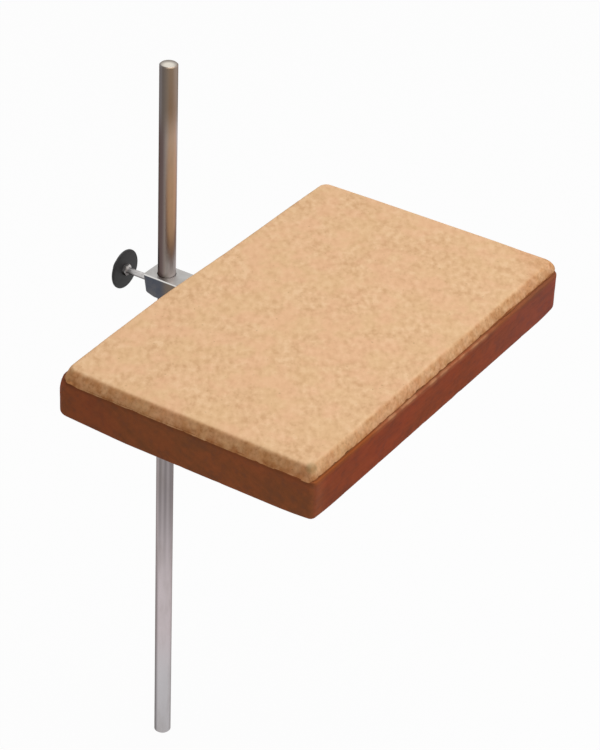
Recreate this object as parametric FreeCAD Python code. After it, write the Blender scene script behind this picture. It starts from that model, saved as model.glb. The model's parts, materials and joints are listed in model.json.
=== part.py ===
import FreeCAD, Part
import math
import os

# Cork-topped work platform on a round support rod.
# The platform's clamp block slides and swivels on the rod, and a thumbscrew locks it.
# Origin: centre of the rod's lower end. +Z up the rod, +X from the rod to the board,
# +Y along the board's long side. All sizes are in millimetres.

# Support rod
ROD_DIAMETER = 10.0
ROD_LENGTH = 453.4
ROD_TOP_CHAMFER = 1.2
ROD_FOOT_CHAMFER = 0.5
FOOT_TAP_DRILL = 5.0
FOOT_THREAD_DEPTH = 15.0
DRILL_POINT_ANGLE = 118.0

# Board: wood, glue and cork, from below
CORK_TOP_HEIGHT = 338.3
ROD_TO_BOARD = 19.5
BOARD_LENGTH = 250.0
BOARD_WIDTH = 157.5
WOOD_THICKNESS = 23.5
WOOD_CORNER_RADIUS = 6.0
WOOD_BOTTOM_ROUND = 2.5
WOOD_TOP_ROUND = 0.8
GLUE_THICKNESS = 0.35
CORK_THICKNESS = 6.5
CORK_SIDE_SETBACK = 1.85
CORK_END_SETBACK = 0.4
CORK_CORNER_RADIUS = 3.5
CORK_SIDE_SLANT = 2.7
CORK_TOP_ROUND = 0.6
CORK_TURN = 0.26

# Clamp block
BLOCK_WIDTH = 16.0
BLOCK_HEIGHT = 12.5
BLOCK_OUTER_REACH = 10.0
BLOCK_DROP = 4.9
NOSE_START = 3.0
NOSE_LEAN = 1.6
NOSE_RISE = 1.6
BLOCK_HEEL_ROUND = 2.0
BLOCK_EDGE_ROUND = 0.6

# Split wear ring in the block's bore
RING_WALL = 0.5
RING_SPLIT = 1.2
RING_CLEARANCE = 0.05
RING_END_PLAY = 0.1
BORE_LIP = 1.6
LIP_CLEARANCE = 0.3

# Clamp screw with its pad, knob and lock nut
SCREW_DIAMETER = 3.5
SCREW_DROP = 1.0
SCREW_CLEARANCE = 0.08
SCREW_STANDOFF = 16.2
PAD_DIAMETER = 3.0
PAD_BACK = 1.2
PAD_CLEARANCE = 0.1
SPIGOT_DIAMETER = 2.0
SPIGOT_LENGTH = 0.6
SPIGOT_CLEARANCE = 0.05
NUT_SIDES = 6
NUT_ACROSS_FLATS = 6.0
NUT_THICKNESS = 1.6
NUT_CHAMFER_ANGLE = 30.0
KNOB_DIAMETER = 22.8
KNOB_THICKNESS = 1.6
KNOB_RIM_ROUND = 0.7
KNOB_HUB_DIAMETER = 11.0
KNOB_HUB_HEIGHT = 4.0
KNOB_HUB_ROUND = 1.2
KNOB_END_WALL = 1.6

# Edge plate and its screws
PLATE_LENGTH = 70.0
PLATE_HEIGHT = 18.0
PLATE_THICKNESS = 3.0
PLATE_CORNER_RADIUS = 3.0
PLATE_EDGE_ROUND = 0.4
WOOD_SCREW_SPREAD = 54.0
WOOD_SCREW_RISE = 9.0
WOOD_SCREW_DIAMETER = 3.5
WOOD_SCREW_HEAD = 7.0
WOOD_SCREW_LENGTH = 20.0
WOOD_SCREW_POINT = 4.0
BLOCK_SCREW_SPREAD = 9.0
BLOCK_SCREW_DIAMETER = 3.0
BLOCK_SCREW_HEAD = 5.5
BLOCK_SCREW_LENGTH = 11.0
BLOCK_SCREW_POINT = 0.5
BLOCK_HOLE_SPARE = 1.0
COUNTERSINK_ANGLE = 90.0
HOLE_CLEARANCE = 0.05
SLOT_WIDTH = 0.9
SLOT_DEPTH = 1.0

# Places that follow from the sizes
X_AXIS = FreeCAD.Vector(1, 0, 0)
Z_AXIS = FreeCAD.Vector(0, 0, 1)
ROD_RADIUS = ROD_DIAMETER / 2
CORK_BOTTOM = CORK_TOP_HEIGHT - CORK_THICKNESS
WOOD_TOP = CORK_BOTTOM - GLUE_THICKNESS
WOOD_BOTTOM = WOOD_TOP - WOOD_THICKNESS
BLOCK_TOP = WOOD_TOP - BLOCK_DROP
BLOCK_BOTTOM = BLOCK_TOP - BLOCK_HEIGHT
BLOCK_MIDDLE = (BLOCK_TOP + BLOCK_BOTTOM) / 2
PLATE_OUTER_X = ROD_TO_BOARD - PLATE_THICKNESS
RING_INNER_RADIUS = ROD_RADIUS + RING_CLEARANCE
RING_OUTER_RADIUS = RING_INNER_RADIUS + RING_WALL
RECESS_RADIUS = RING_OUTER_RADIUS + RING_CLEARANCE
SCREW_RADIUS = SCREW_DIAMETER / 2
SCREW_Z = BLOCK_MIDDLE - SCREW_DROP
PAD_FACE_RADIUS = RING_OUTER_RADIUS + PAD_CLEARANCE
PAD_BACK_X = -(PAD_FACE_RADIUS + PAD_BACK)
SCREW_TIP_X = PAD_BACK_X - SPIGOT_CLEARANCE
NUT_INNER_X = -(BLOCK_OUTER_REACH + SCREW_STANDOFF)
KNOB_INNER_X = NUT_INNER_X - NUT_THICKNESS
KNOB_OUTER_X = KNOB_INNER_X - KNOB_THICKNESS
SCREW_END_X = KNOB_OUTER_X - KNOB_HUB_HEIGHT + KNOB_END_WALL
WOOD_SCREW_PLACES = [
    (side * WOOD_SCREW_SPREAD / 2, BLOCK_MIDDLE + level * WOOD_SCREW_RISE / 2)
    for side in (-1, 1)
    for level in (-1, 1)
]
BLOCK_SCREW_PLACES = [(side * BLOCK_SCREW_SPREAD / 2, BLOCK_MIDDLE) for side in (-1, 1)]
PLANE_TOLERANCE = 1e-6
ROUND_LIMIT = 0.9


def edges_on(shape, axis, place):
    """Edges that lie wholly in the plane where the given axis has this place."""
    found = []
    for edge in shape.Edges:
        box = edge.BoundBox
        low = getattr(box, axis + "Min")
        high = getattr(box, axis + "Max")
        if abs(low - place) < PLANE_TOLERANCE and abs(high - place) < PLANE_TOLERANCE:
            found.append(edge)
    return found


def edges_along(shape, axis):
    """Straight edges that run parallel to the given axis."""
    found = []
    for edge in shape.Edges:
        box = edge.BoundBox
        across = [name for name in "XYZ" if name != axis]
        if all(getattr(box, name + "Length") < PLANE_TOLERANCE for name in across):
            found.append(edge)
    return found


def box_between(low, high):
    return Part.makeBox(high[0] - low[0], high[1] - low[1], high[2] - low[2], FreeCAD.Vector(*low))


def rod_along_x(radius, x_low, x_high, y, z):
    return Part.makeCylinder(radius, x_high - x_low, FreeCAD.Vector(x_low, y, z), X_AXIS)


def upright(radius, z_low, z_high):
    return Part.makeCylinder(radius, z_high - z_low, FreeCAD.Vector(0, 0, z_low), Z_AXIS)


def cone_along_x(radius_low, radius_high, x_low, x_high, y, z):
    return Part.makeCone(radius_low, radius_high, x_high - x_low, FreeCAD.Vector(x_low, y, z), X_AXIS)


def board_layer(side_setback, end_setback, corner, z_low, z_high):
    """A layer of the board with rounded corners, set back from the wood's sides and ends."""
    half_length = BOARD_LENGTH / 2 - end_setback
    low = (ROD_TO_BOARD + side_setback, -half_length, z_low)
    high = (ROD_TO_BOARD + BOARD_WIDTH - side_setback, half_length, z_high)
    layer = box_between(low, high)
    return layer.makeFillet(corner, edges_along(layer, "Z"))


def cork_layer(drawn_in, z_low, z_high):
    """A layer with the cork sheet's outline, drawn in all round, before it is laid on the wood."""
    side_setback = CORK_SIDE_SETBACK + drawn_in
    end_setback = CORK_END_SETBACK + drawn_in
    return board_layer(side_setback, end_setback, CORK_CORNER_RADIUS, z_low, z_high)


def outline_at(layer, z):
    """The closed outline of a layer's flat face at this height."""
    return Part.Wire(Part.__sortEdges__(edges_on(layer, "Z", z)))


def laid_askew(layer):
    """The hand-laid sheet lies slightly turned about the board's centre."""
    centre = FreeCAD.Vector(ROD_TO_BOARD + BOARD_WIDTH / 2, 0, WOOD_TOP)
    layer.rotate(centre, Z_AXIS, CORK_TURN)
    return layer


def countersunk_screw(diameter, head, length, point, tip_radius):
    """Slotted screw along +X, its flat head at the origin and its point at X = length."""
    radius = diameter / 2
    head_depth = (head / 2 - radius) / math.tan(math.radians(COUNTERSINK_ANGLE / 2))
    cone = cone_along_x(head / 2, radius, 0, head_depth, 0, 0)
    shank = rod_along_x(radius, head_depth, length - point, 0, 0)
    tip = cone_along_x(radius, tip_radius, length - point, length, 0, 0)
    slot = box_between((0, -head / 2, -SLOT_WIDTH / 2), (SLOT_DEPTH, head / 2, SLOT_WIDTH / 2))
    return cone.fuse([shank, tip]).removeSplitter().cut(slot)


def screw_seat(diameter, head, depth):
    """The countersunk hole that such a screw fills, along +X from the origin."""
    radius = diameter / 2 + HOLE_CLEARANCE
    head_depth = (head / 2 - radius) / math.tan(math.radians(COUNTERSINK_ANGLE / 2))
    cone = cone_along_x(head / 2, radius, 0, head_depth, 0, 0)
    return cone.fuse(rod_along_x(radius, head_depth, depth, 0, 0)).removeSplitter()


def set_at(shape, x, y, z, turned=False):
    """A copy moved to its place, turned about Z to point along -X where asked."""
    placed = shape.copy()
    if turned:
        placed.rotate(FreeCAD.Vector(0, 0, 0), Z_AXIS, 180)
    placed.translate(FreeCAD.Vector(x, y, z))
    return placed


def plate_screw_shapes(shape):
    return [set_at(shape, PLATE_OUTER_X, y, z) for y, z in WOOD_SCREW_PLACES]


def block_screw_shapes(shape):
    return [set_at(shape, ROD_TO_BOARD, y, z, turned=True) for y, z in BLOCK_SCREW_PLACES]


def make_support_rod():
    rod = upright(ROD_RADIUS, 0, ROD_LENGTH)
    rod = rod.makeChamfer(ROD_TOP_CHAMFER, edges_on(rod, "Z", ROD_LENGTH))
    rod = rod.makeChamfer(ROD_FOOT_CHAMFER, edges_on(rod, "Z", 0))
    tap_radius = FOOT_TAP_DRILL / 2
    point_height = tap_radius / math.tan(math.radians(DRILL_POINT_ANGLE / 2))
    hole = upright(tap_radius, 0, FOOT_THREAD_DEPTH)
    point = Part.makeCone(tap_radius, 0, point_height, FreeCAD.Vector(0, 0, FOOT_THREAD_DEPTH), Z_AXIS)
    return rod.cut(hole.fuse(point))


def make_wood_board():
    wood = board_layer(0, 0, WOOD_CORNER_RADIUS, WOOD_BOTTOM, WOOD_TOP)
    largest_round = WOOD_CORNER_RADIUS * ROUND_LIMIT
    wood = wood.makeFillet(min(WOOD_BOTTOM_ROUND, largest_round), edges_on(wood, "Z", WOOD_BOTTOM))
    wood = wood.makeFillet(min(WOOD_TOP_ROUND, largest_round), edges_on(wood, "Z", WOOD_TOP))
    pilot = rod_along_x(WOOD_SCREW_DIAMETER / 2 + HOLE_CLEARANCE, 0, WOOD_SCREW_LENGTH, 0, 0)
    return wood.cut(plate_screw_shapes(pilot))


def make_glue_film():
    return laid_askew(cork_layer(0, WOOD_TOP, CORK_BOTTOM))


def make_cork_pad():
    foot = cork_layer(0, CORK_BOTTOM, CORK_TOP_HEIGHT)
    crown = cork_layer(CORK_SIDE_SLANT, CORK_BOTTOM, CORK_TOP_HEIGHT)
    cork = Part.makeLoft([outline_at(foot, CORK_BOTTOM), outline_at(crown, CORK_TOP_HEIGHT)], True, True)
    top_round = min(CORK_TOP_ROUND, CORK_THICKNESS * ROUND_LIMIT)
    return laid_askew(cork.makeFillet(top_round, edges_on(cork, "Z", CORK_TOP_HEIGHT)))


def make_clamp_block():
    """The block with its tapered nose, the bore for the rod and the holes for its screws."""
    half = BLOCK_WIDTH / 2
    heel_x = NOSE_LEAN - BLOCK_OUTER_REACH
    profile = [
        (PLATE_OUTER_X, BLOCK_BOTTOM),
        (-NOSE_START, BLOCK_BOTTOM),
        (heel_x, BLOCK_BOTTOM + NOSE_RISE),
        (-BLOCK_OUTER_REACH, BLOCK_TOP),
        (PLATE_OUTER_X, BLOCK_TOP),
        (PLATE_OUTER_X, BLOCK_BOTTOM),
    ]
    outline = Part.makePolygon([FreeCAD.Vector(x, -half, z) for x, z in profile])
    block = Part.Face(outline).extrude(FreeCAD.Vector(0, BLOCK_WIDTH, 0))
    block = block.makeFillet(BLOCK_HEEL_ROUND, edges_on(block, "X", heel_x))
    side_edges = edges_on(block, "Y", -half) + edges_on(block, "Y", half)
    end_edges = edges_on(block, "X", PLATE_OUTER_X)
    softened = [edge for edge in side_edges if not any(edge.isSame(end) for end in end_edges)]
    block = block.makeFillet(BLOCK_EDGE_ROUND, softened)
    bore = upright(ROD_RADIUS + LIP_CLEARANCE, BLOCK_BOTTOM, BLOCK_TOP)
    recess = upright(RECESS_RADIUS, BLOCK_BOTTOM + BORE_LIP, BLOCK_TOP - BORE_LIP)
    screw_hole = rod_along_x(SCREW_RADIUS + SCREW_CLEARANCE, -BLOCK_OUTER_REACH, 0, 0, SCREW_Z)
    tapped_depth = BLOCK_SCREW_LENGTH + BLOCK_HOLE_SPARE
    tapped = rod_along_x(BLOCK_SCREW_DIAMETER / 2 + HOLE_CLEARANCE, 0, tapped_depth, 0, 0)
    return block.cut([bore, recess, screw_hole] + block_screw_shapes(tapped))


def make_edge_plate():
    low = (PLATE_OUTER_X, -PLATE_LENGTH / 2, BLOCK_MIDDLE - PLATE_HEIGHT / 2)
    high = (ROD_TO_BOARD, PLATE_LENGTH / 2, BLOCK_MIDDLE + PLATE_HEIGHT / 2)
    plate = box_between(low, high)
    plate = plate.makeFillet(PLATE_CORNER_RADIUS, edges_along(plate, "X"))
    plate = plate.makeFillet(PLATE_EDGE_ROUND, edges_on(plate, "X", PLATE_OUTER_X))
    wood_seat = screw_seat(WOOD_SCREW_DIAMETER, WOOD_SCREW_HEAD, PLATE_THICKNESS)
    block_seat = screw_seat(BLOCK_SCREW_DIAMETER, BLOCK_SCREW_HEAD, PLATE_THICKNESS)
    return plate.cut(plate_screw_shapes(wood_seat) + block_screw_shapes(block_seat))


def make_plate_screws():
    screw = countersunk_screw(
        WOOD_SCREW_DIAMETER, WOOD_SCREW_HEAD, WOOD_SCREW_LENGTH, WOOD_SCREW_POINT, 0)
    return Part.makeCompound(plate_screw_shapes(screw))


def make_block_screws():
    tip_radius = BLOCK_SCREW_DIAMETER / 2 - BLOCK_SCREW_POINT
    screw = countersunk_screw(
        BLOCK_SCREW_DIAMETER, BLOCK_SCREW_HEAD, BLOCK_SCREW_LENGTH, BLOCK_SCREW_POINT, tip_radius)
    return Part.makeCompound(block_screw_shapes(screw))


def make_wear_ring():
    z_low = BLOCK_BOTTOM + BORE_LIP + RING_END_PLAY
    z_high = BLOCK_TOP - BORE_LIP - RING_END_PLAY
    ring = upright(RING_OUTER_RADIUS, z_low, z_high).cut(upright(RING_INNER_RADIUS, z_low, z_high))
    split = box_between((0, -RING_SPLIT / 2, z_low), (RECESS_RADIUS, RING_SPLIT / 2, z_high))
    return ring.cut(split)


def make_pressure_pad():
    pad = rod_along_x(PAD_DIAMETER / 2, PAD_BACK_X, 0, 0, SCREW_Z)
    socket_end = PAD_BACK_X + SPIGOT_LENGTH + SPIGOT_CLEARANCE
    socket = rod_along_x(SPIGOT_DIAMETER / 2 + SPIGOT_CLEARANCE, PAD_BACK_X, socket_end, 0, SCREW_Z)
    return pad.cut([upright(PAD_FACE_RADIUS, BLOCK_BOTTOM, BLOCK_TOP), socket])


def make_clamp_screw():
    shaft = rod_along_x(SCREW_RADIUS, SCREW_END_X, SCREW_TIP_X, 0, SCREW_Z)
    spigot_end = SCREW_TIP_X + SPIGOT_LENGTH
    spigot = rod_along_x(SPIGOT_DIAMETER / 2, SCREW_TIP_X, spigot_end, 0, SCREW_Z)
    return shaft.fuse(spigot)


def make_lock_nut():
    corner_radius = NUT_ACROSS_FLATS / 2 / math.cos(math.pi / NUT_SIDES)
    corners = []
    for step in range(NUT_SIDES + 1):
        angle = step * 2 * math.pi / NUT_SIDES
        across = corner_radius * math.cos(angle)
        up = corner_radius * math.sin(angle)
        corners.append(FreeCAD.Vector(KNOB_INNER_X, across, SCREW_Z + up))
    hexagon = Part.Face(Part.makePolygon(corners)).extrude(FreeCAD.Vector(NUT_THICKNESS, 0, 0))
    run = (corner_radius - NUT_ACROSS_FLATS / 2) * math.tan(math.radians(NUT_CHAMFER_ANGLE))
    body = rod_along_x(corner_radius, KNOB_INNER_X, NUT_INNER_X - run, 0, SCREW_Z)
    crown = cone_along_x(corner_radius, NUT_ACROSS_FLATS / 2, NUT_INNER_X - run, NUT_INNER_X, 0, SCREW_Z)
    nut = hexagon.common(body.fuse(crown))
    return nut.cut(rod_along_x(SCREW_RADIUS, KNOB_INNER_X, NUT_INNER_X, 0, SCREW_Z))


def make_screw_knob():
    disc = rod_along_x(KNOB_DIAMETER / 2, KNOB_OUTER_X, KNOB_INNER_X, 0, SCREW_Z)
    rim = edges_on(disc, "X", KNOB_OUTER_X) + edges_on(disc, "X", KNOB_INNER_X)
    disc = disc.makeFillet(min(KNOB_RIM_ROUND, KNOB_THICKNESS / 2 * ROUND_LIMIT), rim)
    hub_end = KNOB_OUTER_X - KNOB_HUB_HEIGHT
    hub = rod_along_x(KNOB_HUB_DIAMETER / 2, hub_end, KNOB_OUTER_X, 0, SCREW_Z)
    hub = hub.makeFillet(min(KNOB_HUB_ROUND, KNOB_HUB_HEIGHT * ROUND_LIMIT), edges_on(hub, "X", hub_end))
    hole = rod_along_x(SCREW_RADIUS, SCREW_END_X, KNOB_INNER_X, 0, SCREW_Z)
    return disc.fuse(hub).removeSplitter().cut(hole)


PIECES = {
    "support_rod": make_support_rod,
    "wood_board": make_wood_board,
    "glue_film": make_glue_film,
    "cork_pad": make_cork_pad,
    "clamp_block": make_clamp_block,
    "edge_plate": make_edge_plate,
    "plate_screws": make_plate_screws,
    "block_screws": make_block_screws,
    "wear_ring": make_wear_ring,
    "pressure_pad": make_pressure_pad,
    "clamp_screw": make_clamp_screw,
    "lock_nut": make_lock_nut,
    "screw_knob": make_screw_knob,
}

os.makedirs("parts", exist_ok=True)
for name, make in PIECES.items():
    piece = make()
    print(name, "valid" if piece.isValid() else "NOT VALID", len(piece.Solids), round(piece.Volume, 2))
    piece.exportStep(os.path.join("parts", name + ".step"))
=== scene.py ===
import json
import math
from typing import NamedTuple

import bmesh
import bpy
import numpy as np
from mathutils import Matrix, Vector, noise


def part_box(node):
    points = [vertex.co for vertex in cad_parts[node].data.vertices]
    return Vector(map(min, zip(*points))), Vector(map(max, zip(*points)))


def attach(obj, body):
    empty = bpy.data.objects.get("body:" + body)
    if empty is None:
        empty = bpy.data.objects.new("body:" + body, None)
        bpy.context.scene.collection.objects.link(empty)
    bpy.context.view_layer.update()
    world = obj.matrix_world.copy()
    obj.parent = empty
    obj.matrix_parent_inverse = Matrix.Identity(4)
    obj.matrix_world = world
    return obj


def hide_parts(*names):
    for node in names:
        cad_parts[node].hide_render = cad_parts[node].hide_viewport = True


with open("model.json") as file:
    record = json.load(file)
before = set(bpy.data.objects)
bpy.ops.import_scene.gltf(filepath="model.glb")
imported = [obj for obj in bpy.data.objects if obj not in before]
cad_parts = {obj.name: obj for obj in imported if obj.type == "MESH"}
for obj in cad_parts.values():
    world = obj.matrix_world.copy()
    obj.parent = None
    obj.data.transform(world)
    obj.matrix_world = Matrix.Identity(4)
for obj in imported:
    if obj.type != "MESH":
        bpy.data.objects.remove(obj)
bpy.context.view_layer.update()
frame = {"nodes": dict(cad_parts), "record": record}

# A cork-topped wooden platform that a clamp block holds on a round steel rod.
# Sizes are in metres in the part's own frame: +Z up the rod, +X to the board, +Y along its long side.
MM = 0.001


class CornerWear(NamedTuple):
    """How far one corner of the board has been rubbed out of shape."""

    wood_drawn_in: float = 0.0
    wood_lifted: float = 0.0
    wood_blunted: float = 0.0
    cork_drawn_in: float = 0.0
    cork_bowed_out: float = 0.0
    cork_lowered: float = 0.0


# The board's corners, as their sides in X and Y. The lists of radii and of wear follow this order.
CORNERS = [(1, 1), (-1, 1), (-1, -1), (1, -1)]
CORNER_WEAR = [
    CornerWear(wood_blunted=2.6 * MM, cork_bowed_out=1.45 * MM, cork_lowered=0.7 * MM),
    CornerWear(cork_drawn_in=0.6 * MM),
    CornerWear(wood_drawn_in=1.7 * MM, wood_lifted=2.2 * MM, cork_drawn_in=1.4 * MM, cork_bowed_out=0.3 * MM),
    CornerWear(wood_blunted=1.4 * MM, cork_drawn_in=0.2 * MM),
]
WEAR_REACH = 24 * MM
WEAR_WIDE_REACH = 44 * MM
WEAR_HEIGHT = 8 * MM

# Wooden board
WOOD_CORNERS = [7.0 * MM, 6.0 * MM, 7.0 * MM, 3.2 * MM]
WOOD_BOTTOM_ROUND = 2.5 * MM
WOOD_BOTTOM_STEPS = 8
WOOD_SIDE_STEPS = 10
WOOD_TOP_ROUND = 0.8 * MM
WOOD_TOP_STEPS = 4
WOOD_STEP = 1.6 * MM
WOOD_DENT = 0.22 * MM
WOOD_DENT_SPACING = 9 * MM
# The falloff, the ratio of sizes and the number of the dents' octaves
WOOD_DENT_OCTAVES = (0.5, 2.0, 3)
WOOD_SEAM = 2.5 * MM
# The worn stretch of the ledge beside the cork, and where glue starts to cover it
LEDGE_START = -74 * MM
LEDGE_END = 112 * MM
LEDGE_FADE = 18 * MM
GLUE_START = 40 * MM
GLUE_COVER = 0.95

# Cork sheet
CORK_SIDE_SETBACK = 1.85 * MM
CORK_END_SETBACK = 0.4 * MM
CORK_CORNERS = [4.5 * MM, 4.5 * MM, 5.0 * MM, 2.5 * MM]
CORK_SLANT = 2.7 * MM
CORK_SIDE_STEPS = 8
CORK_TOP_ROUND = 1.9 * MM
CORK_TOP_STEPS = 3
CORK_STEP = 0.9 * MM
CORK_TURN = math.radians(0.26)
# Rings of points under the cork, as insets, and on its crown, as shares of the way to the flat middle
CORK_UNDER_INSETS = (6 * MM, 0.6 * MM)
CORK_CROWN_SHARES = (0.4, 0.7, 1.0)
# The shares of the cork's height that count as its rim and as its foot
CORK_RIM = 0.12
CORK_FOOT = 0.35
# How far the cork's foot laps down over the wood's near end, and where the lap starts and is complete
CORK_LAP = 0.9 * MM
CORK_LAP_REACH = (2 * MM, 1 * MM)
CORK_BULGE = 1.5 * MM
CORK_BULGE_PLACE = -32 * MM
CORK_BULGE_REACH = 38 * MM
GRANULE = 1.6 * MM
GRAIN_RELIEF = 0.012 * MM
GRAIN_SEED = 3.0
CRUMBLE = 0.55 * MM
RIM_CRUMBLE_SHARE = 0.25
CHIPS_PER_GRANULE = 0.3
# The direction and the stretch that rolling gave the granules
ROLLED_TURN = math.radians(33)
ROLLED_STRETCH = (1, 1.7, 1)

# Glue
GLUE_SETBACK = 0.3 * MM
BEAD_RADIUS = 0.9 * MM
BEAD_LIFT = 0.3 * MM
BEAD_STEP = 0.8 * MM
BEAD_SIDES = 8
BEAD_LUMP = 8 * MM
BEAD_SEED = 5.0
# The bead's thickness at the board's ends, along its sides and between lumps, as shares of the most
BEAD_AT_ENDS = 0.1
BEAD_AT_SIDES = 0.3
BEAD_BETWEEN_LUMPS = 0.25

# Rod
ROD_SIDES = 96
ROD_TOP_CHAMFER = 0.6 * MM
ROD_FOOT_CHAMFER = 0.5 * MM
FOOT_HOLE_RADIUS = 2.5 * MM
FOOT_THREAD_LENGTH = 15.0 * MM
FOOT_THREAD_DEPTH = 0.5 * MM
FOOT_PITCH = 1.0 * MM
DRILL_POINT = 1.5 * MM
# The direction of the side with painted light, the painted highlight on the end, and the spacing in radii of
# the painted reflection stripes
ROD_LIT_SIDE = Vector((0.836, 0.548, 0))
ROD_END_HIGHLIGHT = (0.9 * MM, -1.3 * MM, 0)
REFLECTION_STRIPE_SPACING = 0.6

# Thumbscrew
SCREW_SIDES = 48
SCREW_EDGE = 0.15 * MM
SCREW_PITCH = 0.6 * MM
SCREW_THREAD_DEPTH = 0.33 * MM
SCREW_THREAD_LENGTH = 6.0 * MM
SPIGOT_RADIUS = 1.0 * MM
SPIGOT_LENGTH = 0.6 * MM
KNOB_SIDES = 128
KNOB_THICKNESS = 1.6 * MM
KNOB_RIM_ROUND = 0.7 * MM
KNOB_RIM_STEPS = 8
KNOB_HUB_RADIUS = 5.5 * MM
KNOB_HUB_ROUND = 1.2 * MM
KNOB_HUB_STEPS = 6
KNOB_FILLET = 0.8 * MM
KNOB_FILLET_STEPS = 4
KNOB_HOLE_DEPTH = 4.0 * MM

# Threads: rows of points to a turn, and the shares of half a turn that the root and the flank take
THREAD_ROWS = 4
THREAD_ROOT = 0.25
THREAD_FLANK = 0.5
THREAD_MERGE = 0.002 * MM

# Meshes: how close points merge, the fewest steps round a corner, and the angles in degrees from which
# an edge is shaded sharp
MERGE_DISTANCE = 0.001 * MM
FEWEST_CORNER_STEPS = 4
SHARP_EDGE = 35
SHARP_THREAD = 25
SHARP_KNOB = 40
SHARP_SOFT = 60

# Where a finish changes: each pair gives the start of the change and where it is complete.
# Along the board, in from its near end, and outwards at its end faces
WOOD_FAR_TINT = (10 * MM, 110 * MM)
WOOD_EDGE_HIGHLIGHT = (14 * MM, 3 * MM)
END_GRAIN = (-2.0 * MM, -0.3 * MM)
CORK_END_GRIME_AND_SHADE = (-4.5 * MM, -2.5 * MM)
# Below the rod's top, above the block, below the board, and up from the rod's foot
ROD_TOP_DARK_REFLECTION = (46 * MM, 22 * MM)
ROD_END_FACE = (0.12 * MM, 0.02 * MM)
ROD_CLAMP_HIGHLIGHT = (26 * MM, 6 * MM)
ROD_BOARD_SHADE = (205 * MM, 119 * MM)
ROD_UPPER_PAINT = (30 * MM, 0.0)
ROD_FOOT_SHADE = (0.0, 60 * MM)
ROD_FOOT_TINT = (85 * MM, 40 * MM)
# Below the block's top, along it from the rod's axis, before its inner end, and inside its outer end
BLOCK_TOP_LIGHT = (0.85 * MM, 0.45 * MM)
BLOCK_ARRIS_HIGHLIGHT = (0.02 * MM, 0.12 * MM)
BLOCK_CORK_REFLECTION = (0.0, 8 * MM)
FIXING_FINISH = (0.6 * MM, 0.2 * MM)
SCREW_SHOWN = (0.5 * MM, 0.0)
# The share of a spot's reach that has its full strength
SPOT_CORE = 0.35

# The photograph's view
CAMERA_PLACE = Vector((0.68935, -0.96716, 1.03436))
CAMERA_FORWARD = Vector((-0.44244, 0.71229, -0.54487))
CAMERA_RIGHT = Vector((0.83592, 0.54760, 0.03708))
FOCAL_PIXELS = 2521.8
LONG_SIDE_PIXELS = 750
SENSOR = 36.0
CLIP_START = 0.01

# Studio
FLOOR_REACH = 4.0
FLOOR_DROP = 0.2 * MM
FLOOR_SHADE = 0.7
FLOOR_WHITE = 0.96
AMBIENT = 0.40
# Soft lamps that face the board: name, place, size and power
LAMPS = [
    ("overhead_softbox", (0.35, 0.1, 1.7), 1.4, 12.6),
    ("right_softbox", (1.5, 0.3, 0.9), 1.0, 4.6),
]

rod_low, rod_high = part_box("support_rod")
wood_low, wood_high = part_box("wood_board")
cork_low, cork_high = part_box("cork_pad")
block_low, block_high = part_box("clamp_block")
screw_low, screw_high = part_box("clamp_screw")
knob_low, knob_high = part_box("screw_knob")
wood_size = wood_high - wood_low
board_middle = (wood_low + wood_high) / 2
cork_height = cork_high.z - cork_low.z
rod_radius = (rod_high.x - rod_low.x) / 2
screw_radius = (screw_high.z - screw_low.z) / 2
screw_middle = (screw_low + screw_high) / 2
knob_radius = (knob_high.z - knob_low.z) / 2

# Smudges on the cork: centre, reach and strength
CORK_SMUDGES = [
    (Vector((cork_high.x - 3.0 * MM, cork_low.y + 4.2 * MM, cork_high.z - 1.2 * MM)), 4.2 * MM, 0.55),
    (Vector((cork_low.x + 7 * MM, cork_low.y + 2 * MM, cork_high.z)), 3.5 * MM, 0.4),
]


# Node trees written as sums


class Wire:
    """A node's output that takes part in Python sums: each sum adds a Math or Vector Math node."""

    def __init__(self, graph, socket):
        self.graph = graph
        self.socket = socket

    def sum(self, operation, first, second):
        vectors = [v for v in (first, second) if isinstance(v, Wire) and v.socket.type in ("VECTOR", "RGBA")]
        kind = "ShaderNodeVectorMath" if vectors else "ShaderNodeMath"
        if vectors:
            first, second = [(v, v, v) if isinstance(v, (int, float)) else v for v in (first, second)]
        return self.graph.node(kind, {"operation": operation}, {0: first, 1: second})

    def __add__(self, other):
        return self.sum("ADD", self, other)

    __radd__ = __add__

    def __sub__(self, other):
        return self.sum("SUBTRACT", self, other)

    def __rsub__(self, other):
        return self.sum("SUBTRACT", other, self)

    def __mul__(self, other):
        return self.sum("MULTIPLY", self, other)

    __rmul__ = __mul__

    def __truediv__(self, other):
        return self.sum("DIVIDE", self, other)

    def __rtruediv__(self, other):
        return self.sum("DIVIDE", other, self)

    def other(self, name):
        """Another output of the same node."""
        return Wire(self.graph, self.socket.node.outputs[name])


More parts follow.
